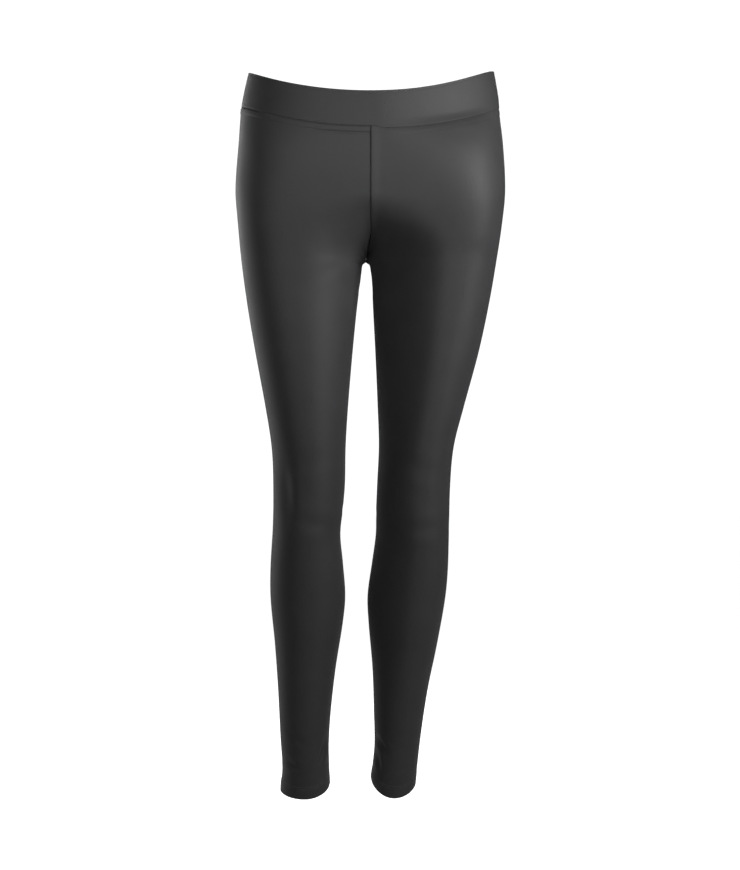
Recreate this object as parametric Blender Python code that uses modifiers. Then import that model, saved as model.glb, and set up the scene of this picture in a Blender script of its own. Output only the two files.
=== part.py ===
# Full-length leggings, filled out as worn: two one-piece leg panels and a doubled waistband.
# Metres, +Z up, -Y is the front. The origin is the middle of the waistband ring.
# Each panel wraps one leg: it starts at the front seam, goes round the outer side and ends at the
# back seam. Below the crotch those two edges meet as the inseam, and above it they make the
# centre-front and centre-back seams.

import math

import bmesh
import bpy

MM = 0.001

# Cloth
PANEL_WALL = 1.1 * MM
HEM_WALL = 2.0 * MM
BAND_WALL = 2.2 * MM
SEAM_GAP = 0.3 * MM

# Hems
HEM_TURN_UP = 16.0
HEM_FADE = 90.0

# Crotch: where the four seams meet, and the small arch between the legs under it
CROTCH_LEVEL = -211.0
CROTCH_X = -5.5
ARCH_HEIGHT = 6.0
ARCH_SPREAD = 8

# The centre seams stand at SEAM_X and lean over to the crotch point along their last stretch
SEAM_X = 0.1
SEAM_LEAN_HEIGHT = 34.0

# Height over which each centre seam curves up from under the crotch to the front or the back
FRONT_CURVE = 76.0
BACK_CURVE = 94.0
CURVE_POWER = 1.5
VALLEY_ROUNDING = 9.0
VALLEY_FADE = 16.0
LEAST_CUT = 0.0001

# How the rows of a panel fan out above the crotch, bunched where the seam runs level
SEAM_BUNCHING = 1.6

# Levels of the waistband's two edges, in millimetres, at the sides, centre front and centre back
BAND_COLUMNS = ("edge", "right", "left", "front", "back")
BAND_ROWS = (
    ("top", 30.4, 34.0, -5.2, 26.0),
    ("seam", -14.3, -13.5, -50.0, -21.0),
)
BAND_DIP = {"right": 1.6, "left": 2.1}

# The left panel's seam hangs a little lower just beside the centre front
BAND_SAG = 3.0
BAND_SAG_RUN = 14.0

# Levels of each leg's hem, in millimetres, at its outer and inner sides, front and back
HEM_COLUMNS = ("leg", "outer", "inner", "front", "back")
HEM_ROWS = (
    ("right", -899.0, -892.0, -907.5, -888.0),
    ("left", -890.0, -884.0, -906.0, -880.0),
)
HEM_DIP = 1.2

# Outer side of each leg, as millimetres out from the middle
OUTER_COLUMNS = ("level", "right", "left")
OUTER_ROWS = (
    (38, 155.5, 160.5),
    (0, 164.0, 167.0),
    (-20, 167.0, 168.2),
    (-60, 169.5, 172.0),
    (-120, 173.6, 174.6),
    (-160, 171.0, 171.0),
    (-211, 166.4, 163.7),
    (-270, 158.4, 153.4),
    (-330, 148.2, 140.4),
    (-400, 135.3, 121.4),
    (-450, 127.6, 108.7),
    (-500, 124.8, 103.7),
    (-550, 125.9, 102.6),
    (-610, 129.6, 101.4),
    (-650, 129.6, 97.9),
    (-710, 124.0, 87.3),
    (-770, 119.9, 75.0),
    (-830, 117.0, 66.1),
    (-870, 114.6, 61.6),
    (-893, 116.6, 59.4),
    (-910, 117.0, 58.5),
)

# Inner side of each leg, as millimetres out from the middle; above the crotch it closes on the
# centre seams and only places the deepest line
INNER_COLUMNS = ("level", "right", "left")
INNER_ROWS = (
    (-90, -0.7, 0.7),
    (-150, 3.0, -0.6),
    (-200, 9.4, -1.6),
    (-218, 10.9, 0.7),
    (-235, 13.0, 3.0),
    (-270, 17.3, 4.4),
    (-330, 23.2, 7.5),
    (-400, 29.0, 10.5),
    (-450, 32.0, 12.0),
    (-500, 33.0, 9.8),
    (-530, 35.6, 8.6),
    (-565, 39.0, 8.0),
    (-600, 36.0, 3.4),
    (-645, 32.8, -2.6),
    (-680, 35.9, -1.4),
    (-740, 45.3, 3.7),
    (-800, 52.0, 5.7),
    (-840, 54.3, 6.3),
    (-870, 53.7, 3.4),
    (-885, 53.3, 1.6),
    (-910, 52.5, 3.5),
)

# Front of each leg and back of both, in millimetres
DEPTH_COLUMNS = ("level", "right", "left", "back")
DEPTH_ROWS = (
    (38, -103.5, -103.5, 106.5),
    (-15, -110.0, -110.0, 116.0),
    (-60, -113.0, -113.0, 124.0),
    (-100, -112.0, -112.0, 127.0),
    (-140, -107.0, -107.0, 124.0),
    (-180, -100.0, -98.0, 112.0),
    (-211, -95.0, -91.0, 98.0),
    (-250, -90.0, -86.0, 84.0),
    (-300, -86.0, -82.0, 73.0),
    (-360, -80.5, -77.5, 63.0),
    (-420, -74.0, -72.0, 55.0),
    (-480, -66.5, -65.5, 49.0),
    (-530, -60.5, -60.5, 47.0),
    (-570, -55.0, -55.0, 51.0),
    (-620, -46.0, -46.0, 58.0),
    (-660, -39.0, -39.0, 60.0),
    (-710, -32.0, -32.0, 56.0),
    (-760, -26.0, -26.0, 51.0),
    (-810, -21.0, -21.0, 48.0),
    (-850, -18.0, -18.0, 47.0),
    (-910, -16.0, -16.0, 48.0),
)

# Where the front of each leg and the back of both stand deepest, as shares of the way from the
# inner side to the outer
DEEPEST_COLUMNS = ("level", "right", "left", "back")
DEEPEST_ROWS = (
    (38, 0.16, 0.16, 0.16),
    (-15, 0.18, 0.18, 0.18),
    (-60, 0.20, 0.20, 0.22),
    (-100, 0.24, 0.28, 0.28),
    (-140, 0.33, 0.45, 0.36),
    (-180, 0.46, 0.58, 0.45),
    (-211, 0.50, 0.62, 0.50),
    (-300, 0.51, 0.63, 0.50),
    (-420, 0.49, 0.62, 0.50),
    (-500, 0.46, 0.60, 0.50),
    (-600, 0.50, 0.60, 0.50),
    (-700, 0.50, 0.60, 0.50),
    (-790, 0.50, 0.55, 0.50),
    (-910, 0.50, 0.50, 0.50),
)

# Fullness of each leg's front inside its deepest line and outside it: 2 is an ellipse, less is
# flatter and more is boxier. The back is elliptical
FULLNESS_COLUMNS = ("level", "inner_right", "inner_left", "outer_right", "outer_left")
FULLNESS_ROWS = (
    (38, 2.6, 2.0, 3.3, 2.6),
    (-28, 2.6, 2.0, 3.4, 2.7),
    (-50, 2.2, 2.0, 3.5, 2.9),
    (-75, 2.0, 2.0, 3.6, 3.1),
    (-130, 2.0, 2.0, 3.6, 3.2),
    (-160, 2.0, 1.8, 3.4, 3.1),
    (-185, 2.0, 1.4, 3.1, 3.0),
    (-211, 2.0, 1.30, 2.8, 2.8),
    (-330, 2.0, 1.25, 2.5, 2.5),
    (-430, 2.0, 1.35, 2.3, 2.3),
    (-500, 2.0, 1.50, 2.0, 2.2),
    (-600, 2.0, 1.35, 2.0, 2.2),
    (-700, 2.0, 1.40, 2.0, 2.1),
    (-800, 2.0, 1.80, 2.0, 2.0),
    (-910, 2.0, 2.00, 2.0, 2.0),
)

# By height over the waist seam, the share of its depth each front gives up on its way to the
# outer side, where the waistband is drawn straight from the middle to the hip
SLANT_COLUMNS = ("height", "right", "left")
SLANT_ROWS = (
    (90, 0.06, 0.32),
    (10, 0.06, 0.30),
    (0, 0.05, 0.25),
    (-14, 0.03, 0.14),
    (-45, 0.0, 0.03),
    (-80, 0.0, 0.0),
    (-900, 0.0, 0.0),
)

# Columns of a half panel in degrees from the seam (0) past the deepest point (90) to the side (180)
COLUMN_ANGLES = (0, 2.5, 8, 17, 30, 46, 61, 76, 90, 106, 122, 138, 153, 167, 180)

# Rows of a panel: up from the hem, then by level to the crotch, then as shares of the way up to
# the waist seam
HEM_ROW_HEIGHTS = (0, 4, HEM_TURN_UP, HEM_TURN_UP + 4)
LEG_ROW_LEVELS = (
    -850, -820, -785, -750, -712, -678, -646, -615, -585, -555, -525, -490,
    -450, -405, -360, -315, -275, -248, -230, -219, -213.5,
)
SEAT_ROW_SHARES = (0, 0.05, 0.12, 0.22, 0.34, 0.48, 0.63, 0.79, 0.93, 1)

# Rows of the waistband as shares of its height
BAND_ROW_SHARES = (0, 0.06, 0.5, 0.94, 1)

SIDES = {"right": -1, "left": 1}


def table_column(rows, columns, name):
    place = columns.index(name)
    return [(row[0], row[place]) for row in rows]


def smooth_between(points, level):
    """Value at a level on a smooth curve through the points of a table column."""
    points = sorted(points)
    levels = [point[0] for point in points]
    level = min(max(level, levels[0]), levels[-1])
    upper = next(place for place in range(1, len(points)) if level <= levels[place])
    lower = upper - 1

    def slope(place):
        before = points[max(place - 1, 0)]
        after = points[min(place + 1, len(points) - 1)]
        return (after[1] - before[1]) / (after[0] - before[0])

    span = levels[upper] - levels[lower]
    share = (level - levels[lower]) / span
    rest = 1 - share
    ends = points[lower][1] * (1 + 2 * share) * rest * rest + points[upper][1] * (3 - 2 * share) * share * share
    lean = slope(lower) * share * rest * rest - slope(upper) * rest * share * share
    return ends + lean * span


def ease(share):
    share = min(max(share, 0.0), 1.0)
    return share * share * (3 - 2 * share)


OUTER = {side: table_column(OUTER_ROWS, OUTER_COLUMNS, side) for side in SIDES}
INNER = {side: table_column(INNER_ROWS, INNER_COLUMNS, side) for side in SIDES}
DEPTH = {name: table_column(DEPTH_ROWS, DEPTH_COLUMNS, name) for name in DEPTH_COLUMNS[1:]}
DEEPEST = {name: table_column(DEEPEST_ROWS, DEEPEST_COLUMNS, name) for name in DEEPEST_COLUMNS[1:]}
FULLNESS = {name: table_column(FULLNESS_ROWS, FULLNESS_COLUMNS, name) for name in FULLNESS_COLUMNS[1:]}
SLANT = {side: table_column(SLANT_ROWS, SLANT_COLUMNS, side) for side in SIDES}
BAND = {row[0]: dict(zip(BAND_COLUMNS, row)) for row in BAND_ROWS}
HEM = {row[0]: dict(zip(HEM_COLUMNS, row)) for row in HEM_ROWS}


def seam_x(level):
    lean = ease((CROTCH_LEVEL + SEAM_LEAN_HEIGHT - level) / SEAM_LEAN_HEIGHT)
    return SEAM_X + (CROTCH_X - SEAM_X) * lean


def leg_inner_x(side, level):
    return SIDES[side] * smooth_between(INNER[side], level)


def edge_x(side, level):
    """The seam line above the crotch; under it the leg's inner side, arched over at its top."""
    drop = CROTCH_LEVEL - level
    if drop <= 0:
        return seam_x(level)
    arch = math.sqrt(1 - (1 - min(drop / ARCH_HEIGHT, 1)) ** 2)
    return CROTCH_X + (leg_inner_x(side, level) - CROTCH_X) * arch


def dipped(side_level, middle_level, across, power):
    """Level of an edge that dips or rises at the middle; across is 0 there and 1 at the side."""
    dip = math.sqrt(max(1 - across * across, 0)) ** power
    return side_level + (middle_level - side_level) * dip


def share_across(x, outer):
    return min(abs((x - SEAM_X) / (outer - SEAM_X)), 1)


def waist_seam_level(side, half, x, outer):
    levels = BAND["seam"]
    return dipped(levels[side], levels[half], share_across(x, outer), BAND_DIP["right"])


def softened(across, blunt):
    return (math.hypot(across, blunt) - blunt) / (math.hypot(1, blunt) - blunt)


def section_depth(across, fullness, slant=0.0):
    """Depth of a quarter section, from 1 at its deepest line (across 0) to 0 at its side (1)."""
    spread = softened(across, 0.2 * max(2 - fullness, 0))
    depth = max(1 - spread ** fullness, 0) ** (1 / fullness)
    return depth * (1 - slant * softened(across, 0.12))


def section_point(side, level, half, angle):
    """A point of the outer surface, in millimetres, on one level of one leg.

    half is front or back, and the angle runs from the seam to the side.
    """
    in_front = half == "front"
    inner = leg_inner_x(side, level)
    outer = SIDES[side] * smooth_between(OUTER[side], level)
    column = side if in_front else "back"
    deepest = inner + (outer - inner) * smooth_between(DEEPEST[column], level)
    front = smooth_between(DEPTH[side], level)
    back = smooth_between(DEPTH["back"], level)
    middle = (front + back) / 2
    reach = (front if in_front else back) - middle
    if angle >= 90:
        across = -math.cos(math.radians(angle))
        x = deepest + (outer - deepest) * across
        if not in_front:
            return x, middle + reach * section_depth(across, 2)
        slant = smooth_between(SLANT[side], level - waist_seam_level(side, half, x, outer))
        fullness = smooth_between(FULLNESS["outer_" + side], level)
        return x, middle + reach * section_depth(across, fullness, slant)

    # Above the crotch the seam plane cuts the leg's round inner side off, and less is left of it
    # the higher the level is
    height = max(level - CROTCH_LEVEL, 0)
    curve = FRONT_CURVE if in_front else BACK_CURVE
    cut = max(1 - (height / curve) ** CURVE_POWER, LEAST_CUT)
    start = math.acos(cut)
    share = math.cos(start + (math.pi / 2 - start) * angle / 90) / cut
    edge = edge_x(side, level)
    x = deepest + (inner - deepest) * share + (edge - inner) * share ** ARCH_SPREAD

    # Beside the seam the valley between the legs is rounded
    rounding = VALLEY_ROUNDING * ease(height / VALLEY_FADE)
    rise = math.tanh(abs(x - edge) / rounding) if rounding > 0 else 1
    across = min(cut * (1 - (1 - share) * rise), 1)
    fullness = smooth_between(FULLNESS["inner_" + side], level) if in_front else 2
    return x, middle + reach * section_depth(across, fullness)


def band_level(edge, side, half, angle):
    """Level of the waistband's top or seam at one column."""
    levels = BAND[edge]
    x = section_point(side, levels[side], half, angle)[0]
    outer = SIDES[side] * smooth_between(OUTER[side], levels[side])
    if edge == "top":
        return dipped(levels[side], levels[half], share_across(x, outer), BAND_DIP[side])
    level = waist_seam_level(side, half, x, outer)
    if side == "left" and half == "front":
        run = x - SEAM_X
        level -= BAND_SAG * ease(run / BAND_SAG_RUN) * (1 - ease(run / outer))
    return level


def hem_level(side, half, angle):
    """Level of a leg's hem at one column."""
    levels = HEM[side]
    across = math.cos(math.radians(angle))
    side_level = levels["inner"] if across > 0 else levels["outer"]
    return dipped(side_level, levels[half], across, HEM_DIP)


def leg_levels(side, half, angle):
    """Levels of all the rows of a panel at one of its columns, from the hem to the waist seam."""
    hem = hem_level(side, half, angle)
    flat_hem = HEM[side]["inner"]
    levels = [hem + height for height in HEM_ROW_HEIGHTS]
    for level in LEG_ROW_LEVELS:
        fade = 1 - ease((level - flat_hem - HEM_TURN_UP) / HEM_FADE)
        levels.append(level + (hem - flat_hem) * fade)
    waist = band_level("seam", side, half, angle)
    near_seam = (1 - angle / 180) ** 2
    for share in SEAT_ROW_SHARES:
        bunched = share ** SEAM_BUNCHING
        risen = share + (bunched - share) * near_seam
        levels.append(CROTCH_LEVEL + risen * (waist - CROTCH_LEVEL))
    return levels


def panel_columns():
    """Halves and angles of a panel's columns, from the front seam round to the back seam."""
    front = [("front", angle) for angle in COLUMN_ANGLES]
    back = [("back", angle) for angle in reversed(COLUMN_ANGLES[:-1])]
    return front + back


def seam_allowed(side, point, half, angle, level):
    """Moves a point on a seam edge back by half the seam's gap."""
    x, y = point
    if angle > 0:
        return x, y
    gap = SEAM_GAP / MM / 2
    if level >= CROTCH_LEVEL:
        x += SIDES[side] * gap
    if level <= CROTCH_LEVEL:
        y += gap if half == "back" else -gap
    return x, y


def clear_scene():
    for item in list(bpy.data.objects):
        bpy.data.objects.remove(item, do_unlink=True)


def make_collection(name):
    collection = bpy.data.collections.new(name)
    bpy.context.scene.collection.children.link(collection)
    return collection


def jersey_material(name, color, roughness):
    material = bpy.data.materials.new(name)
    material.use_nodes = True
    shader = material.node_tree.nodes["Principled BSDF"]
    shader.inputs["Base Color"].default_value = (*color, 1)
    shader.inputs["Roughness"].default_value = roughness
    shader.inputs["Metallic"].default_value = 0
    material.diffuse_color = (*color, 1)
    return material


def grid_surface(rows, closed):
    """A bmesh grid whose vertices are moved to the rows of points, in millimetres."""
    surface = bmesh.new()
    across = len(rows[0])
    bmesh.ops.create_grid(surface, x_segments=across - 1, y_segments=len(rows) - 1, size=1)
    surface.verts.ensure_lookup_table()
    for place, vertex in enumerate(surface.verts):
        point = rows[place // across][place % across]
        vertex.co = [size * MM for size in point]
    if closed:
        bmesh.ops.remove_doubles(surface, verts=surface.verts, dist=0.01 * MM)
    return surface


def add_object(name, surface, collection, material):
    mesh = bpy.data.meshes.new(name)
    surface.to_mesh(mesh)
    surface.free()
    mesh.materials.append(material)
    mesh.shade_smooth()
    part = bpy.data.objects.new(name, mesh)
    collection.objects.link(part)
    return part


def thicken(part, wall):
    solidify = part.modifiers.new("wall", "SOLIDIFY")
    solidify.thickness = wall
    solidify.offset = -1
    solidify.use_rim = True
    return solidify


def make_leg(side, collection, material):
    columns = panel_columns()
    levels = [leg_levels(side, half, angle) for half, angle in columns]
    rows = []
    for place in range(len(levels[0])):
        row = []
        for (half, angle), column_levels in zip(columns, levels):
            level = column_levels[place]
            point = section_point(side, level, half, angle)
            x, y = seam_allowed(side, point, half, angle, level)
            row.append((x, y, level))
        rows.append(row)
    surface = grid_surface(rows, closed=False)
    if side == "right":
        bmesh.ops.reverse_faces(surface, faces=surface.faces)
    part = add_object("leg_" + side, surface, collection, material)

    # The hem is turned up once inside, so the wall is double there
    hem_rows = HEM_ROW_HEIGHTS.index(HEM_TURN_UP) + 1
    hem = part.vertex_groups.new(name="hem")
    hem.add(list(range(hem_rows * len(columns))), 1.0, "REPLACE")
    solidify = thicken(part, HEM_WALL)
    solidify.vertex_group = "hem"
    solidify.thickness_vertex_group = PANEL_WALL / HEM_WALL
    return part


def make_waistband(collection, material):
    right = [("right", half, angle) for half, angle in panel_columns()]
    left = [("left", half, angle) for half, angle in reversed(panel_columns())]
    ring = right + left[1:]
    rows = []
    for share in BAND_ROW_SHARES:
        row = []
        for side, half, angle in ring:
            low = band_level("seam", side, half, angle) + SEAM_GAP / MM
            high = band_level("top", side, half, angle)
            level = low + (high - low) * share
            x, y = section_point(side, level, half, angle)
            row.append((x, y, level))
        rows.append(row)
    surface = grid_surface(rows, closed=True)
    bmesh.ops.reverse_faces(surface, faces=surface.faces)
    part = add_object("waistband", surface, collection, material)
    thicken(part, BAND_WALL)
    return part


def main():
    clear_scene()
    leggings = make_collection("leggings")
    panel_jersey = jersey_material("panel_jersey", (0.022, 0.022, 0.023), 0.75)
    band_jersey = jersey_material("band_jersey", (0.026, 0.026, 0.027), 0.75)
    for side in SIDES:
        make_leg(side, leggings, panel_jersey)
    make_waistband(leggings, band_jersey)


main()
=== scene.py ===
# Full-length leggings in charcoal stretch jersey, filled out as worn.
# Two one-piece leg panels and a doubled waistband, each a thin cloth shell on its CAD solid.
import functools
import math

import bmesh
import bpy
from mathutils import Matrix, Vector


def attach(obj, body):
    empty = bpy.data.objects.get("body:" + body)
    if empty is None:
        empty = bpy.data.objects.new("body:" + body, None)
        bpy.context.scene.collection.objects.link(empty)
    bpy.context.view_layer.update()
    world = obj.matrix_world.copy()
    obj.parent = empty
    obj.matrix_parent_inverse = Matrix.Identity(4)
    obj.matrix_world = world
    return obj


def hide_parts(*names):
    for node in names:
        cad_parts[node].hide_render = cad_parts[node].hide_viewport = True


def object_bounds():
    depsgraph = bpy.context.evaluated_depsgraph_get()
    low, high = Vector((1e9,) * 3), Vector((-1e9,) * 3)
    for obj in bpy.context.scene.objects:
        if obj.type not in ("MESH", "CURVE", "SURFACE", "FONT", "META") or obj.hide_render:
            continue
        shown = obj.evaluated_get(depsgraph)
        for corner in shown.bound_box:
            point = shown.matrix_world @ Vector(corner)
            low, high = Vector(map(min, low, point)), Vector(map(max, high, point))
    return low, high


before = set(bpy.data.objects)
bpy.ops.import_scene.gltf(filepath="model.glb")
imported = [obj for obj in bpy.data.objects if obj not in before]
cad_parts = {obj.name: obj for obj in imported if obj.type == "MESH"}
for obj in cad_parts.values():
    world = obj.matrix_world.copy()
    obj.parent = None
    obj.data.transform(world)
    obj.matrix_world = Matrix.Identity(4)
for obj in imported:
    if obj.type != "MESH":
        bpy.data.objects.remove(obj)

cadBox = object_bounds()
mm = 0.001
sideSign = {"right": -1, "left": 1}

# The garment's form, in millimetres from the middle of the waistband ring: the same as the solids'
form = {
    # level, right leg, left leg
    "outer": (
        (38, 155.5, 160.5), (0, 164.0, 167.0), (-20, 167.0, 168.2), (-60, 169.5, 172.0),
        (-120, 173.6, 174.6), (-160, 171.0, 171.0), (-211, 166.4, 163.7), (-270, 158.4, 153.4),
        (-330, 148.2, 140.4), (-400, 135.3, 121.4), (-450, 127.6, 108.7), (-500, 124.8, 103.7),
        (-550, 125.9, 102.6), (-610, 129.6, 101.4), (-650, 129.6, 97.9), (-710, 124.0, 87.3),
        (-770, 119.9, 75.0), (-830, 117.0, 66.1), (-870, 114.6, 61.6), (-893, 116.6, 59.4),
        (-910, 117.0, 58.5),
    ),
    # level, right leg, left leg
    "inner": (
        (-90, -0.7, 0.7), (-150, 3.0, -0.6), (-200, 9.4, -1.6), (-218, 10.9, 0.7),
        (-235, 13.0, 3.0), (-270, 17.3, 4.4), (-330, 23.2, 7.5), (-400, 29.0, 10.5),
        (-450, 32.0, 12.0), (-500, 33.0, 9.8), (-530, 35.6, 8.6), (-565, 39.0, 8.0),
        (-600, 36.0, 3.4), (-645, 32.8, -2.6), (-680, 35.9, -1.4), (-740, 45.3, 3.7),
        (-800, 52.0, 5.7), (-840, 54.3, 6.3), (-870, 53.7, 3.4), (-885, 53.3, 1.6),
        (-910, 52.5, 3.5),
    ),
    # level, front of the right leg, front of the left leg, back
    "depth": (
        (38, -103.5, -103.5, 106.5), (-15, -110.0, -110.0, 116.0), (-60, -113.0, -113.0, 124.0),
        (-100, -112.0, -112.0, 127.0), (-140, -107.0, -107.0, 124.0), (-180, -100.0, -98.0, 112.0),
        (-211, -95.0, -91.0, 98.0), (-250, -90.0, -86.0, 84.0), (-300, -86.0, -82.0, 73.0),
        (-360, -80.5, -77.5, 63.0), (-420, -74.0, -72.0, 55.0), (-480, -66.5, -65.5, 49.0),
        (-530, -60.5, -60.5, 47.0), (-570, -55.0, -55.0, 51.0), (-620, -46.0, -46.0, 58.0),
        (-660, -39.0, -39.0, 60.0), (-710, -32.0, -32.0, 56.0), (-760, -26.0, -26.0, 51.0),
        (-810, -21.0, -21.0, 48.0), (-850, -18.0, -18.0, 47.0), (-910, -16.0, -16.0, 48.0),
    ),
    # level, how far out the front of the right leg, the front of the left leg and the back stand
    # deepest, as shares of the leg's width
    "deepest": (
        (38, 0.03, 0.03, 0.16), (-15, 0.03, 0.03, 0.18), (-60, 0.06, 0.08, 0.22),
        (-100, 0.16, 0.25, 0.28), (-140, 0.33, 0.45, 0.36), (-180, 0.46, 0.58, 0.45),
        (-211, 0.50, 0.62, 0.50), (-300, 0.51, 0.63, 0.50), (-420, 0.49, 0.62, 0.50),
        (-500, 0.46, 0.60, 0.50), (-600, 0.50, 0.60, 0.50), (-700, 0.50, 0.60, 0.50),
        (-790, 0.50, 0.55, 0.50), (-910, 0.50, 0.50, 0.50),
    ),
    # level, fullness of the front inside the deepest line on the right and left legs, and outside
    # it on the right and left legs; 2 is an ellipse, less is flatter and more is boxier
    "fullness": (
        (38, 2.6, 2.0, 3.3, 2.8), (-28, 2.6, 2.0, 3.4, 2.8), (-50, 2.2, 2.0, 3.6, 3.1),
        (-75, 2.0, 2.0, 3.8, 3.4), (-130, 2.0, 2.0, 3.8, 3.6), (-160, 2.0, 1.8, 3.6, 3.6),
        (-185, 2.0, 1.4, 3.3, 3.4), (-211, 2.0, 1.30, 3.0, 3.0), (-330, 2.0, 1.25, 2.5, 2.5),
        (-430, 2.0, 1.35, 2.3, 2.3), (-500, 2.0, 1.50, 2.0, 2.2), (-600, 2.0, 1.35, 2.0, 2.2),
        (-700, 2.0, 1.40, 2.0, 2.1), (-800, 2.0, 1.80, 2.0, 2.0), (-910, 2.0, 2.00, 2.0, 2.0),
    ),
    # height above the waist seam, how much of its depth the front gives up on its way to the outer
    # side of the right and left legs, where the band is drawn straight from the middle to the hip
    "slant": (
        (90, 0.06, 0.32), (10, 0.06, 0.30), (0, 0.05, 0.25), (-14, 0.03, 0.14), (-45, 0.0, 0.03),
        (-80, 0.0, 0.0), (-900, 0.0, 0.0),
    ),
    # levels of the hems and of the waistband's edges
    "hem": {
        "right": {"outer": -899.0, "inner": -892.0, "front": -907.5, "back": -888.0},
        "left": {"outer": -890.0, "inner": -884.0, "front": -906.0, "back": -880.0},
        "dip": 1.2,
    },
    "band": {
        "top": {"right": 30.4, "left": 34.0, "front": -5.2, "back": 26.0},
        "seam": {"right": -14.3, "left": -13.5, "front": -50.0, "back": -21.0},
        "dip": {"right": 1.6, "left": 2.1},
        # the left panel hangs a little lower where the band meets the centre seam
        "sag": 3.0,
        "sagRun": 14.0,
    },
    "crotchLevel": -211.0,
    "crotchX": -5.5,
    "archHeight": 6.0,
    "archSpread": 8,
    "seamX": 0.1,
    "seamLean": 34.0,
    "frontCurve": 76.0,
    "backCurve": 94.0,
    "curvePower": 1.5,
    "valleyRounding": 9.0,
    "valleyFade": 16.0,
    "hemTurnUp": 16.0,
    "hemFade": 90.0,
    "seamBunching": 1.6,
    # how blunt the section is drawn along its deepest line
    "flatBlunt": 0.2,
    "slantBlunt": 0.12,
}


def ease(value, low=0.0, high=1.0):
    share = min(max((value - low) / (high - low), 0.0), 1.0)
    return share * share * (3 - 2 * share)


def bell(value, width):
    return math.exp(-(value / width) ** 2)


def levelCurve(rows, column):
    # A smooth curve through one column of a table, read off every half millimetre
    points = sorted((row[0], row[column]) for row in rows)
    step = 0.5
    lowest = points[0][0]
    slopes = []
    for place in range(len(points)):
        before = points[max(place - 1, 0)]
        after = points[min(place + 1, len(points) - 1)]
        slopes.append((after[1] - before[1]) / (after[0] - before[0]))
    samples = []
    upper = 1
    for count in range(int((points[-1][0] - lowest) / step) + 1):
        level = lowest + count * step
        while level > points[upper][0]:
            upper += 1
        (low, lowValue), (high, highValue) = points[upper - 1], points[upper]
        span = high - low
        share = (level - low) / span
        rest = 1 - share
        value = lowValue * (1 + 2 * share) * rest * rest
        value += highValue * (3 - 2 * share) * share * share
        bend = slopes[upper - 1] * share * rest * rest - slopes[upper] * rest * share * share
        value += bend * span
        samples.append(value)

    def read(level):
        place = min(max((level - lowest) / step, 0), len(samples) - 1.001)
        before = int(place)
        return samples[before] + (samples[before + 1] - samples[before]) * (place - before)

    return read


def sideCurves(table, right=1, left=2):
    return {"right": levelCurve(form[table], right), "left": levelCurve(form[table], left)}


outerCurve = sideCurves("outer")
innerCurve = sideCurves("inner")
frontCurve = sideCurves("depth")
backCurve = levelCurve(form["depth"], 3)
frontDeepest = sideCurves("deepest")
backDeepest = levelCurve(form["deepest"], 3)
innerFullness = sideCurves("fullness")
outerFullness = sideCurves("fullness", 3, 4)
slantCurve = sideCurves("slant")


def edgeX(side, level):
    # The centre seam above the crotch; below it the leg's inner side, arched over at its top
    drop = form["crotchLevel"] - level
    if drop <= 0:
        lean = ease(form["crotchLevel"] + form["seamLean"] - level, 0, form["seamLean"])
        return form["seamX"] + (form["crotchX"] - form["seamX"]) * lean
    arch = math.sqrt(1 - (1 - min(drop / form["archHeight"], 1)) ** 2)
    inner = sideSign[side] * innerCurve[side](level)
    return form["crotchX"] + (inner - form["crotchX"]) * arch


def softened(across, blunt):
    return (math.hypot(across, blunt) - blunt) / (math.hypot(1, blunt) - blunt)


def sectionDepth(across, fullness, slant=0):
    # Depth of a quarter section, from 1 at its deepest line (0) to 0 at its side (1)
    spread = softened(across, form["flatBlunt"] * max(2 - fullness, 0))
    depth = max(1 - spread ** fullness, 0) ** (1 / fullness)
    return depth * (1 - slant * softened(across, form["slantBlunt"]))


def dipped(sideLevel, middleLevel, across, power):
    return sideLevel + (middleLevel - sideLevel) * math.sqrt(max(1 - across * across, 0)) ** power


def seamLevel(side, half, x, outer):
    levels = form["band"]["seam"]
    across = min(abs((x - form["seamX"]) / (outer - form["seamX"])), 1)
    return dipped(levels[side], levels[half], across, form["band"]["dip"]["right"])


def sectionPoint(side, level, half, angle):
    # A point of the outer surface; the angle runs from the seam (0) past the deepest line (90)
    # to the outer side (180)
    inner = sideSign[side] * innerCurve[side](level)
    outer = sideSign[side] * outerCurve[side](level)
    front = frontCurve[side](level)
    back = backCurve(level)
    inFront = half == "front"
    deepShare = frontDeepest[side](level) if inFront else backDeepest(level)
    deepest = inner + (outer - inner) * deepShare
    middle = (front + back) / 2
    reach = (front if inFront else back) - middle
    if angle >= 90:
        across = -math.cos(math.radians(angle))
        x = deepest + (outer - deepest) * across
        if not inFront:
            return x, middle + reach * sectionDepth(across, 2)
        slant = slantCurve[side](level - seamLevel(side, half, x, outer))
        return x, middle + reach * sectionDepth(across, outerFullness[side](level), slant)
    height = max(level - form["crotchLevel"], 0)
    cut = max(1 - (height / form[half + "Curve"]) ** form["curvePower"], 0.0001)
    start = math.acos(cut)
    share = math.cos(start + (math.pi / 2 - start) * angle / 90) / cut
    edge = edgeX(side, level)
    x = deepest + (inner - deepest) * share + (edge - inner) * share ** form["archSpread"]
    rounding = form["valleyRounding"] * ease(height, 0, form["valleyFade"])
    rise = math.tanh(abs(x - edge) / rounding) if rounding > 0 else 1
    across = min(cut * (1 - (1 - share) * rise), 1)
    return x, middle + reach * sectionDepth(across, innerFullness[side](level) if inFront else 2)


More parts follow.
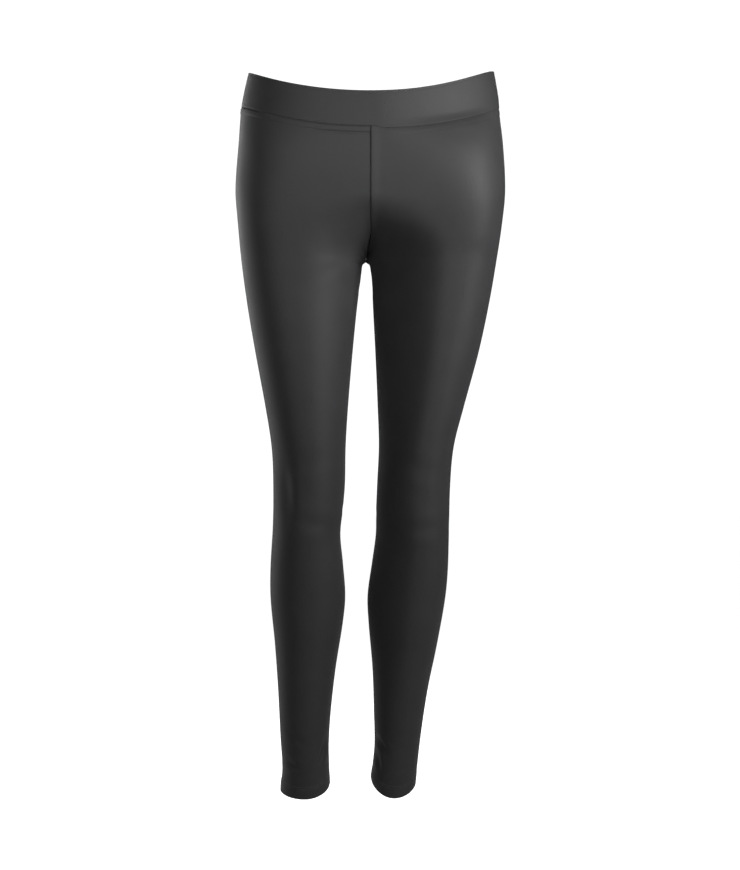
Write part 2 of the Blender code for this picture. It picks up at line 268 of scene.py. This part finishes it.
@functools.lru_cache(maxsize=None)
def bandLevel(edge, side, half, angle):
    levels = form["band"][edge]
    x = sectionPoint(side, levels[side], half, angle)[0]
    outer = sideSign[side] * outerCurve[side](levels[side])
    if edge == "seam":
        level = seamLevel(side, half, x, outer)
        if side == "left" and half == "front":
            run = x - form["seamX"]
            sag = form["band"]["sag"] * ease(run, 0, form["band"]["sagRun"])
            level -= sag * (1 - ease(run, 0, outer))
        return level
    across = min(abs((x - form["seamX"]) / (outer - form["seamX"])), 1)
    return dipped(levels[side], levels[half], across, form["band"]["dip"][side])


@functools.lru_cache(maxsize=None)
def hemLevel(side, half, angle):
    levels = form["hem"][side]
    across = math.cos(math.radians(angle))
    sideLevel = levels["inner"] if across > 0 else levels["outer"]
    return dipped(sideLevel, levels[half], across, form["hem"]["dip"])


def lengthsAlong(points):
    lengths = [0.0]
    for before, after in zip(points, points[1:]):
        lengths.append(lengths[-1] + (after - before).length)
    return lengths


def spaced(points, distances):
    # Points at the given distances along a line of points
    lengths = lengthsAlong(points)
    found = []
    place = 0
    for distance in distances:
        while place < len(points) - 2 and lengths[place + 1] < distance:
            place += 1
        share = (distance - lengths[place]) / max(lengths[place + 1] - lengths[place], 1e-9)
        found.append(points[place].lerp(points[place + 1], min(share, 1)))
    return found


def angleSteps():
    return [place * leg["angleStep"] for place in range(int(180 / leg["angleStep"]) + 1)]


def gridNormals(rows, uvRows, flipped=False):
    # Vertex normals of the cloth's outer face, row by row
    surface = clothGrid(rows, uvRows)
    if flipped:
        bmesh.ops.reverse_faces(surface, faces=surface.faces)
    surface.normal_update()
    surface.verts.ensure_lookup_table()
    across = len(rows[0])
    normals = [[surface.verts[r * across + c].normal.copy() for c in range(across)]
               for r in range(len(rows))]
    surface.free()
    return normals


def clothGrid(rows, uvRows):
    # A bmesh grid whose vertices are moved to the rows of points, with its own UV map in metres
    surface = bmesh.new()
    across = len(rows[0])
    bmesh.ops.create_grid(surface, x_segments=across - 1, y_segments=len(rows) - 1, size=1)
    surface.verts.ensure_lookup_table()
    uvLayer = surface.loops.layers.uv.new("cloth")
    for place, vertex in enumerate(surface.verts):
        vertex.co = rows[place // across][place % across]
    for face in surface.faces:
        for loop in face.loops:
            place = loop.vert.index
            loop[uvLayer].uv = uvRows[place // across][place % across]
    return surface


def sharpen(surface, picked):
    # Keeps the fold of an allowance crisp; picked holds vertex indices
    for edge in surface.edges:
        if edge.verts[0].index in picked and edge.verts[1].index in picked:
            edge.smooth = False


def linked(name, data):
    thing = bpy.data.objects.new(name, data)
    bpy.context.scene.collection.objects.link(thing)
    return thing


def addPiece(name, surface, material, body="root"):
    mesh = bpy.data.meshes.new(name)
    surface.to_mesh(mesh)
    surface.free()
    mesh.materials.append(material)
    mesh.shade_smooth()
    piece = linked(name, mesh)
    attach(piece, body)
    return piece


# Materials
def linear(hexColor):
    channels = [int(hexColor[place:place + 2], 16) / 255 for place in (1, 3, 5)]
    return (*(c / 12.92 if c <= 0.04045 else ((c + 0.055) / 1.055) ** 2.4 for c in channels), 1.0)


def addNode(tree, kind, settings=None, inputs=None, links=None):
    node = tree.nodes.new(kind)
    for key, value in (settings or {}).items():
        setattr(node, key, value)
    for key, value in (inputs or {}).items():
        node.inputs[key].default_value = value
    for key, socket in (links or {}).items():
        tree.links.new(socket, node.inputs[key])
    return node


jersey = {
    "color": "#2b2b2c",
    "wornColor": "#313132",
    "roughness": 0.62,
    "roughnessRange": 0.05,
    "sheen": 0.12,
    "sheenRoughness": 0.4,
    "sheenTint": "#c8c8cc",
    "specular": 0.25,
    # A fine single jersey has wales every 0.7 mm or so; they are drawn about twice as coarse to
    # show, and their yarns wander a little along the leg
    "waleWidth": 1.4 * mm,
    "yarnLength": 9.0 * mm,
    "knitDepth": 0.06 * mm,
    "cloudScale": 22.0,
}


def jerseyMaterial(name, settings):
    # Cotton and elastane single jersey, knitted and dyed charcoal: matt, faintly ribbed along the
    # wales, with a soft bloom where the surface turns away
    material = bpy.data.materials.new(name)
    material.use_nodes = True
    tree = material.node_tree
    tree.nodes.clear()
    place = addNode(tree, "ShaderNodeUVMap", {"uv_map": "cloth"}).outputs["UV"]
    wales = (1 / settings["waleWidth"], 1 / settings["yarnLength"], 1)
    stretched = addNode(tree, "ShaderNodeMapping", inputs={"Scale": wales},
                        links={"Vector": place}).outputs["Vector"]
    knit = addNode(tree, "ShaderNodeTexNoise", {"noise_dimensions": "2D"},
                   {"Scale": 1.0, "Detail": 2.0, "Roughness": 0.5},
                   {"Vector": stretched}).outputs["Fac"]
    cloud = addNode(tree, "ShaderNodeTexNoise", {"noise_dimensions": "2D"},
                    {"Scale": settings["cloudScale"], "Detail": 3.0, "Roughness": 0.55},
                    {"Vector": place}).outputs["Fac"]
    color = addNode(tree, "ShaderNodeMix", {"data_type": "RGBA"},
                    {"A": linear(settings["color"]), "B": linear(settings["wornColor"])})
    tree.links.new(cloud, color.inputs["Factor"])
    rough = addNode(tree, "ShaderNodeMapRange", inputs={
        "To Min": settings["roughness"] - settings["roughnessRange"],
        "To Max": settings["roughness"] + settings["roughnessRange"]}, links={"Value": cloud})
    bump = addNode(tree, "ShaderNodeBump", links={"Height": knit},
                   inputs={"Strength": 1.0, "Distance": settings["knitDepth"]})
    shader = addNode(tree, "ShaderNodeBsdfPrincipled", inputs={
        "Specular IOR Level": settings["specular"], "Sheen Weight": settings["sheen"],
        "Sheen Roughness": settings["sheenRoughness"], "Sheen Tint": linear(settings["sheenTint"]),
    }, links={"Base Color": color.outputs["Result"], "Roughness": rough.outputs["Result"],
              "Normal": bump.outputs["Normal"]})
    addNode(tree, "ShaderNodeOutputMaterial", links={"Surface": shader.outputs["BSDF"]})
    return material


panelJersey = jerseyMaterial("panelJersey", jersey)
bandJersey = jerseyMaterial("bandJersey", jersey)
print("jersey materials made")

# Leg panels, in millimetres
leg = {
    "wall": 1.1,
    "hemWall": 2.0,
    # heights of rows over the hem and drops of rows under the waist seam, close where a relief is
    "hemRows": (0, 0.7, 1.5, 2.6, 4, 5.6, 7.4, 9.2, 10.8, 11.7, 12.6, 13.4, 14.5, 15.4, 16.2, 17.2,
                18.6, 20.4, 23),
    "legSpacing": 3.3,
    "seatRows": 56,
    "waistRows": (15, 12.5, 11.0, 10.0, 9.4, 8.8, 8.2, 7.6, 6.8, 5.6, 4.4, 3.4, 2.5, 1.7, 1.1,
                  0.5, 0),
    # distances of columns from the seams, then the even ones over the rest of the half
    "seamColumns": (0, 0.2, 0.6, 1.1, 1.6, 2.4, 3.4, 4.5, 5.6, 6.6, 7.6, 9.0, 11.0, 13.5),
    "evenColumns": 48,
    "angleStep": 1.25,
    # seam allowances turned inwards, their lean and the gap left between the two panels
    "allowance": (-5.0, -1.2),
    "allowanceLean": 0.15,
    "hairGap": 0.06,
    "inseamDepth": 0.4,
    "seamWidth": 0.8,
    # ridges over pressed allowances: rise from one distance to the next, then fall
    "lapHeight": 1.1,
    "lapRise": (0, 1.9),
    "lapFall": (2.4, 15),
    "pressedHeight": 0.6,
    "pressedRise": (0.2, 1.4),
    "pressedFall": (2.4, 7.0),
    "waistDepth": 0.5,
    "waistWidth": 0.9,
    "softWaistDepth": 0.45,
    "softWaistWidth": 2.6,
    "waistPressedLeft": 0.25,
    "waistRise": (0.3, 1.8),
    "waistFall": (6.4, 8.8),
    # groove under the right front's allowance, fading out on both sides of its middle
    "grooveDepth": 0.5,
    "grooveDrop": 8.8,
    "grooveWidth": 1.0,
    "grooveHalfLength": 50,
    "grooveFade": 25,
    "crotchFade": 8,
    "hemStep": 0.4,
    "hemStepFall": (14.6, 17.2),
    "stitchHeights": (12.6, 15.4),
    "stitchSink": 0.3,
    "stitchWidth": 0.9,
}

# Soft creases: x and level of the middle, run towards x and z, half length, half
# width and depth, in millimetres
creases = {
    ("right", "front"): (
        (-62, -848, -8, -31, 17, 3.0, 1.9), (-101, -863, 10, -6, 9, 3.4, 2.0),
        (-88, -876, 10, 4, 12, 2.8, 1.1), (-107, -508, 3, -40, 34, 7.5, 1.8),
        (-74, -549, 20, -4, 24, 8.5, 0.8), (-78, -470, 20, 6, 24, 10.0, 0.5),
        (-52, -228, -30, -20, 26, 6.0, 0.35), (-96, -828, 12, -10, 14, 3.6, 0.9),
    ),
    ("right", "back"): (
        (-62, -236, -40, 9, 34, 6.0, 1.9), (-96, -252, -40, 16, 30, 7.0, 1.3),
        (-84, -508, 30, 5, 26, 4.6, 1.7), (-78, -528, 30, -3, 30, 4.8, 2.3),
        (-88, -551, 30, -7, 24, 4.6, 1.5), (-84, -836, 20, 6, 15, 3.4, 1.4),
        (-90, -858, 20, -5, 18, 3.6, 1.8),
    ),
    ("left", "front"): (
        (14, -836, 14, -20, 14, 3.0, 1.9), (11, -860, 4, -17, 9, 2.6, 1.8),
        (40, -868, 14, 5, 12, 3.0, 1.0), (72, -556, 20, 3, 22, 8.5, 0.8),
        (62, -478, 20, -6, 22, 10.0, 0.5), (92, -505, -2, -30, 28, 7.0, 0.9),
        (44, -826, 12, 8, 14, 3.6, 0.9),
    ),
    ("left", "back"): (
        (56, -234, 40, 11, 34, 6.0, 1.8), (92, -256, 40, 14, 28, 7.0, 1.4),
        (60, -511, 30, -4, 24, 4.6, 1.5), (52, -533, 30, 4, 28, 4.8, 2.3),
        (62, -556, 30, 8, 22, 4.6, 1.6), (34, -832, 20, -6, 14, 3.4, 1.5),
        (38, -853, 20, 4, 16, 3.6, 1.8),
    ),
}


# the swell beside a crease: where it stands, in half widths, and how high, as a share of the depth
swellPlace = 1.9
swellShare = 0.45


def legRows(side):
    rows = [("hem", height) for height in leg["hemRows"]]
    low = form["hem"][side]["inner"] + leg["hemRows"][-1]
    rise = form["crotchLevel"] - low
    count = round(rise / leg["legSpacing"])
    rows += [("leg", low + rise * place / count) for place in range(1, count)]
    rows += [("seat", place / leg["seatRows"]) for place in range(leg["seatRows"])]
    rows += [("waist", drop) for drop in leg["waistRows"]]
    return rows


def rowLevel(side, row, half, angle):
    kind, amount = row
    hem = hemLevel(side, half, angle)
    if kind == "hem":
        return hem + amount
    if kind == "leg":
        flat = form["hem"][side]["inner"]
        fade = 1 - ease(amount - flat - form["hemTurnUp"], 0, form["hemFade"])
        return amount + (hem - flat) * fade
    waist = bandLevel("seam", side, half, angle)
    if kind == "waist":
        return waist - amount
    nearSeam = (1 - angle / 180) ** 2
    risen = amount + (amount ** form["seamBunching"] - amount) * nearSeam
    return form["crotchLevel"] + risen * (waist - leg["waistRows"][0] - form["crotchLevel"])


def columnDistances(total):
    near = leg["seamColumns"]
    even = (total - near[-1]) / leg["evenColumns"]
    return list(near) + [near[-1] + even * place for place in range(1, leg["evenColumns"] + 1)]


def creaseDepth(side, half, point):
    depth = 0
    for x, level, runX, runZ, halfLength, halfWidth, deep in creases[side, half]:
        size = math.hypot(runX, runZ)
        offX, offZ = point.x - x, point.z - level
        along = (offX * runX + offZ * runZ) / size
        across = (offX * runZ - offZ * runX) / size
        if abs(along) < 2.5 * halfLength and abs(across) < 4 * halfWidth:
            # a trough between two low swells
            swell = bell(abs(across) - swellPlace * halfWidth, halfWidth)
            depth += deep * bell(along, halfLength) * (bell(across, halfWidth) - swellShare * swell)
    return -depth


def legRelief(side, half, distance, row, point):
    kind, amount = row
    relief = creaseDepth(side, half, point)
    # The seam's allowance is pressed to the left in front and behind, and to the back on the inseam
    above = math.tanh(max(point.z - form["crotchLevel"], 0) / leg["crotchFade"])
    if side == "left":
        lap = ease(distance, *leg["lapRise"]) * (1 - ease(distance, *leg["lapFall"]))
        relief += above * leg["lapHeight"] * lap
    relief -= (1 - above) * leg["inseamDepth"] * bell(distance, leg["seamWidth"])
    if half == "back":
        pressed = ease(distance, *leg["pressedRise"]) * (1 - ease(distance, *leg["pressedFall"]))
        relief += (1 - above) * leg["pressedHeight"] * pressed
    if kind == "hem":
        relief += leg["hemStep"] * (1 - ease(amount, *leg["hemStepFall"]))
        stitched = max(bell(amount - height, leg["stitchWidth"]) for height in leg["stitchHeights"])
        relief -= leg["stitchSink"] * stitched
    if kind == "waist":
        # the left front's waist seam is softer, with nothing pressed under it
        soft = side == "left" and half == "front"
        seam = "softWaist" if soft else "waist"
        relief -= leg[seam + "Depth"] * bell(amount, leg[seam + "Width"])
        pressed = leg["pressedHeight"] if side == "right" else leg["waistPressedLeft"]
        relief += pressed * ease(amount, *leg["waistRise"]) * (1 - ease(amount, *leg["waistFall"]))
        if side == "right" and half == "front":
            fade = bell(max(abs(distance) - leg["grooveHalfLength"], 0), leg["grooveFade"])
            groove = bell(amount - leg["grooveDrop"], leg["grooveWidth"])
            relief -= leg["grooveDepth"] * groove * fade
    return relief


# Hem stitches; pitch, length and thickness in millimetres
thread = {
    "color": "#3d3d3f",
    "paleColor": "#4a4a4c",
    "roughness": 0.5,
    "specular": 0.35,
    "pitch": 3.2,
    "length": 2.5,
    "thickness": 0.5,
    "lintScale": 900.0,
}


def threadMaterial():
    # Twisted polyester sewing thread: a little smoother and paler than the jersey it sits in
    material = bpy.data.materials.new("polyesterThread")
    material.use_nodes = True
    tree = material.node_tree
    tree.nodes.clear()
    place = addNode(tree, "ShaderNodeTexCoord").outputs["Object"]
    lint = addNode(tree, "ShaderNodeTexNoise", inputs={"Scale": thread["lintScale"], "Detail": 1.0},
                   links={"Vector": place}).outputs["Fac"]
    color = addNode(tree, "ShaderNodeMix", {"data_type": "RGBA"},
                    {"A": linear(thread["color"]), "B": linear(thread["paleColor"])})
    tree.links.new(lint, color.inputs["Factor"])
    shader = addNode(tree, "ShaderNodeBsdfPrincipled", inputs={
        "Roughness": thread["roughness"], "Specular IOR Level": thread["specular"]},
        links={"Base Color": color.outputs["Result"]})
    addNode(tree, "ShaderNodeOutputMaterial", links={"Surface": shader.outputs["BSDF"]})
    return material


polyesterThread = threadMaterial()


def makeHemStitches(side, rings):
    # Two rows of short raised stitches round the hem, half sunk in the cloth
    surface = bmesh.new()
    for points, normals in rings:
        lengths = lengthsAlong(points)
        count = int(lengths[-1] / thread["pitch"])
        gap = (lengths[-1] / count - thread["length"]) / 2
        column = 0
        for place in range(count):
            start = lengths[-1] * place / count + gap
            before, after = spaced(points, (start, start + thread["length"]))
            middle = (before + after) / 2
            while column < len(points) - 2 and lengths[column + 1] < start + thread["length"] / 2:
                column += 1
            along = (after - before).normalized()
            across = normals[column].cross(along).normalized()
            out = along.cross(across)
            half = thread["thickness"] / 2
            turn = Matrix((along * thread["length"] / 2, across * half, out * half)).transposed()
            bmesh.ops.create_uvsphere(surface, u_segments=6, v_segments=5, radius=mm,
                                      matrix=Matrix.Translation(middle * mm) @ turn.to_4x4())
    bmesh.ops.recalc_face_normals(surface, faces=surface.faces)
    piece = addPiece("hemStitches" + side.capitalize(), surface, polyesterThread)


def makeLeg(side):
    steps = angleSteps()
    rowKinds = legRows(side)
    rows, uvRows = [], []
    sign = sideSign[side]
    for row in rowKinds:
        halves = {}
        for half in ("front", "back"):
            line = []
            for angle in steps:
                level = rowLevel(side, row, half, angle)
                x, y = sectionPoint(side, level, half, angle)
                line.append(Vector((x, y, level)))
            total = lengthsAlong(line)[-1]
            distances = columnDistances(total)
            points = spaced(line, distances)
            halves[half] = list(zip(points, distances, [total] * len(points)))
        front, back = halves["front"], list(reversed(halves["back"]))[1:]
        line = [("front", *entry) for entry in front] + [("back", *entry) for entry in back]
        rows.append(line)
    points = [[entry[1] for entry in line] for line in rows]
    for line in rows:
        uvRow = []
        for half, point, distance, total in line:
            turned = total - distance if half == "front" else distance - total
            uvRow.append(Vector((-turned * mm, point.z * mm)))
        uvRows.append(uvRow)
    across = len(points[0])
    normals = gridNormals(points, uvRows, flipped=side == "right")

    # Relief, then the allowances turned in at the seams and under the waistband
    extra = len(leg["allowance"])
    shaped, shapedUv = [], []
    for place, line in enumerate(rows):
        row = rowKinds[place]
        shapedRow = []
        for column, (half, point, distance, _) in enumerate(line):
            relief = legRelief(side, half, distance, row, point)
            shapedRow.append(point + normals[place][column] * relief)
        ends = []
        for end, half in ((0, "front"), (-1, "back")):
            # both allowances lean the same way, so nothing shows through the hair gap
            if line[end][1].z > form["crotchLevel"] + 0.01:
                inward = -normals[place][end]
                inward.x = 0
                gap = Vector((sign * leg["hairGap"], 0, 0))
                lean = Vector((leg["allowanceLean"], 0, 0))
            else:
                inward = -(normals[place][0] + normals[place][-1])
                gap = Vector((0, leg["hairGap"] if half == "back" else -leg["hairGap"], 0))
                lean = Vector((0, leg["allowanceLean"], 0))
            inward.normalize()
            inward += lean
            shapedRow[end] = shapedRow[end] + gap
            ends.append([shapedRow[end] - inward * reach for reach in leg["allowance"]])
        shapedRow = ends[0] + shapedRow + list(reversed(ends[1]))
        uvRow = uvRows[place]
        shaped.append(shapedRow)
        shapedUv.append([uvRow[0]] * extra + uvRow + [uvRow[-1]] * extra)
    rings = []
    for height in leg["stitchHeights"]:
        place = rowKinds.index(("hem", height))
        rings.append((shaped[place][extra + 1:-extra - 1], normals[place][1:-1]))
    makeHemStitches(side, rings)
    inwardRows = []
    for reach in reversed(leg["allowance"]):
        row = []
        for column, point in enumerate(shaped[len(rows) - 1]):
            normal = normals[-1][min(max(column - extra, 0), across - 1)]
            row.append(point + normal * reach)
        inwardRows.append(row)
    shaped += inwardRows
    shapedUv += [shapedUv[-1]] * extra
    surface = clothGrid([[point * mm for point in line] for line in shaped], shapedUv)
    if side == "right":
        bmesh.ops.reverse_faces(surface, faces=surface.faces)
    # The turned-in corners beside the centre seams are cut away
    surface.verts.ensure_lookup_table()
    wide = len(shaped[0])
    sharpen(surface, {r * wide + c for r in range(len(rows)) for c in (extra, wide - 1 - extra)})
    corners = [surface.verts[r * wide + c] for r in range(len(rows), len(shaped))
               for c in list(range(extra)) + list(range(wide - extra, wide))]
    hemRows = [row for row in rowKinds if row[0] == "hem" and row[1] < form["hemTurnUp"]]
    bmesh.ops.delete(surface, geom=corners, context="VERTS")
    piece = addPiece("leg" + side.capitalize() + "Cloth", surface, panelJersey)

    # The hem is turned up once inside, so the wall is double there
    hem = piece.vertex_groups.new(name="hem")
    hem.add(list(range(len(hemRows) * wide)), 1.0, "REPLACE")
    wall = piece.modifiers.new("wall", "SOLIDIFY")
    wall.thickness = leg["hemWall"] * mm
    wall.offset = -1
    wall.vertex_group = "hem"
    wall.thickness_vertex_group = leg["wall"] / leg["hemWall"]
    return piece


legPieces = {}
for side in ("right", "left"):
    legPieces[side] = makeLeg(side)
    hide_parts("leg_" + side)
    print("leg panel made:", side)

# Waistband, cut double and folded at its top edge, in millimetres
band = {
    "wall": 2.2,
    "columns": 264,
    "rows": (0, 0.5, 1.1, 1.8, 2.8, 4.2),
    "topRows": (5.0, 3.8, 3.0, 2.4, 1.8, 1.1, 0.5, 0),
    "middleRows": 18,
    "hairGap": 0.12,
    "seamDepth": 0.4,
    "seamWidth": 0.9,
    # share of the seam's groove that is left out over the left front
    "softShare": 0.75,
    "softRun": 20,
    "foldDepth": 0.2,
    "foldLevel": 2.6,
    "foldWidth": 0.6,
}


def makeBand():
    steps = angleSteps()
    ring = [("left", "front", angle) for angle in steps]
    ring += [("left", "back", angle) for angle in reversed(steps[:-1])]
    ring += [("right", "back", angle) for angle in steps[1:]]
    ring += [("right", "front", angle) for angle in reversed(steps[:-1])]
    kinds = [("low", height) for height in band["rows"]]
    middle = band["middleRows"] + 1
    kinds += [("share", place / middle) for place in range(1, middle)]
    kinds += [("high", drop) for drop in band["topRows"]]
    rows, uvRows = [], []
    for kind, amount in kinds:
        line = []
        for side, half, angle in ring:
            low = bandLevel("seam", side, half, angle) + band["hairGap"]
            high = bandLevel("top", side, half, angle)
            lowEnd, highEnd = low + band["rows"][-1], high - band["topRows"][0]
            level = {"low": low + amount, "high": high - amount,
                     "share": lowEnd + (highEnd - lowEnd) * amount}[kind]
            x, y = sectionPoint(side, level, half, angle)
            line.append(Vector((x, y, level)))
        total = lengthsAlong(line)[-1]
        distances = [total * place / band["columns"] for place in range(band["columns"] + 1)]
        points = spaced(line, distances)
        rows.append(points)
        uvRows.append([Vector((distance * mm, point.z * mm))
                       for distance, point in zip(distances, points)])
    normals = gridNormals(rows, uvRows)
    for line in normals:
        seam = (line[0] + line[-1]).normalized()
        line[0], line[-1] = seam, seam
    shaped = []
    for place, (kind, amount) in enumerate(kinds):
        line = []
        for point, normal in zip(rows[place], normals[place]):
            # the seam lies softer across the left front, where nothing is pressed under it
            soft = ease(point.x, 0, band["softRun"]) if point.y < 0 else 0
            relief = 0
            if kind == "low":
                depth = band["seamDepth"] * (1 - band["softShare"] * soft)
                relief -= depth * bell(amount, band["seamWidth"])
            if kind == "high":
                relief -= band["foldDepth"] * bell(amount - band["foldLevel"], band["foldWidth"])
            line.append(point + normal * relief)
        shaped.append(line)
    inward = [[point + normal * reach for point, normal in zip(shaped[0], normals[0])]
              for reach in leg["allowance"]]
    shaped = inward + shaped
    uvRows = [uvRows[0]] * len(inward) + uvRows
    surface = clothGrid([[point * mm for point in line] for line in shaped], uvRows)
    bmesh.ops.remove_doubles(surface, verts=surface.verts, dist=0.01 * mm)
    piece = addPiece("waistbandCloth", surface, bandJersey)
    wall = piece.modifiers.new("wall", "SOLIDIFY")
    wall.thickness = band["wall"] * mm
    wall.offset = -1
    return piece


bandPiece = makeBand()
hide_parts("waistband")
print("waistband made")

# Rounded cloth edges at the hems and along the waistband's fold; widths in millimetres
rounded = {"leg": 0.7, "band": 1.0, "segments": 3, "angle": 70}
for piece, kind in ((legPieces["right"], "leg"), (legPieces["left"], "leg"), (bandPiece, "band")):
    edge = piece.modifiers.new("roundedEdge", "BEVEL")
    edge.width = rounded[kind] * mm
    edge.segments = rounded["segments"]
    edge.limit_method = "ANGLE"
    edge.angle_limit = math.radians(rounded["angle"])

# Studio
studio = {
    "floorDrop": 0.07,
    "floorSize": 12.0,
    "floorColor": "#a8a8a8",
    "floorRoughness": 0.9,
    "floorSeen": 1.02,
    "worldColor": "#ffffff",
    "worldSeen": 1.1,
    "worldLight": 0.02,
    # name, place, aim, width and height in metres, watts, spread in degrees
    "lights": (
        ("keyLight", (0.79, -0.62, 0.08), (0, 0, -0.05), (0.4, 0.5), 10.2, 150),
        ("frontLight", (-0.17, -0.98, 0.08), (0, 0, -0.05), (0.4, 0.5), 3.0, 150),
        ("leftLight", (-1.13, 0.65, -0.45), (0, 0, -0.5), (0.6, 1.3), 4.4, 180),
        ("leftUpperLight", (-1.25, 0.36, 0.1), (0, 0, -0.1), (0.4, 0.4), 3.4, 180),
        ("rimLight", (-0.72, 0.80, 0.0), (-0.25, 0, -0.15), (0.3, 0.7), 0.2, 50),
        ("backLight", (0.1, 2.4, 1.0), (0, 0, -0.4), (1.4, 1.4), 34, 100),
    ),
    # metres: how far the lens is from the garment, the height it takes in there, and its level
    "cameraReach": 2.8,
    "cameraView": 1.131,
    "cameraLevel": -0.4362,
    "sensorHeight": 24,
}


def makeFloor():
    shape = bmesh.new()
    level = cadBox[0][2] - studio["floorDrop"]
    bmesh.ops.create_grid(shape, x_segments=1, y_segments=1, size=studio["floorSize"],
                          matrix=Matrix.Translation((0, 0, level)))
    mesh = bpy.data.meshes.new("studioFloor")
    shape.to_mesh(mesh)
    shape.free()
    # Pale background paper, lit to white for the camera alone
    paper = bpy.data.materials.new("paleBackgroundPaper")
    paper.use_nodes = True
    tree = paper.node_tree
    shader = tree.nodes["Principled BSDF"]
    shader.inputs["Base Color"].default_value = linear(studio["floorColor"])
    shader.inputs["Roughness"].default_value = studio["floorRoughness"]
    shader.inputs["Emission Color"].default_value = (1, 1, 1, 1)
    path = addNode(tree, "ShaderNodeLightPath")
    glow = addNode(tree, "ShaderNodeMath", {"operation": "MULTIPLY"}, {1: studio["floorSeen"]},
                   {0: path.outputs["Is Camera Ray"]})
    tree.links.new(glow.outputs[0], shader.inputs["Emission Strength"])
    mesh.materials.append(paper)
    return linked("studioFloor", mesh)


def makeWorld():
    # Seen white by the camera, and a weak fill for everything else
    world = bpy.data.worlds.new("studioWorld")
    world.use_nodes = True
    tree = world.node_tree
    tree.nodes.clear()
    color = linear(studio["worldColor"])
    seen, fill = (addNode(tree, "ShaderNodeBackground", inputs={
        "Color": color, "Strength": studio[strength]}) for strength in ("worldSeen", "worldLight"))
    path = addNode(tree, "ShaderNodeLightPath")
    mix = addNode(tree, "ShaderNodeMixShader")
    tree.links.new(path.outputs["Is Camera Ray"], mix.inputs[0])
    tree.links.new(fill.outputs[0], mix.inputs[1])
    tree.links.new(seen.outputs[0], mix.inputs[2])
    addNode(tree, "ShaderNodeOutputWorld", links={"Surface": mix.outputs[0]})
    return world


def addLight(name, place, aim, size, power, spread):
    data = bpy.data.lights.new(name, "AREA")
    data.shape = "RECTANGLE"
    data.size, data.size_y = size
    data.energy = power
    data.spread = math.radians(spread)
    lamp = linked(name, data)
    lamp.location = place
    lamp.rotation_euler = (Vector(aim) - Vector(place)).to_track_quat("-Z", "Y").to_euler()


def addCamera():
    data = bpy.data.cameras.new("camera")
    data.sensor_fit = "VERTICAL"
    data.sensor_height = studio["sensorHeight"]
    data.lens = studio["sensorHeight"] * studio["cameraReach"] / studio["cameraView"]
    camera = linked("camera", data)
    camera.location = (0, -studio["cameraReach"], studio["cameraLevel"])
    camera.rotation_euler = (math.radians(90), 0, 0)
    return camera


studioFloor = makeFloor()
bpy.context.scene.world = makeWorld()
for light in studio["lights"]:
    addLight(*light)
bpy.context.scene.camera = addCamera()
bpy.context.scene.view_settings.view_transform = "Standard"
print("studio made")


bpy.context.view_layer.update()
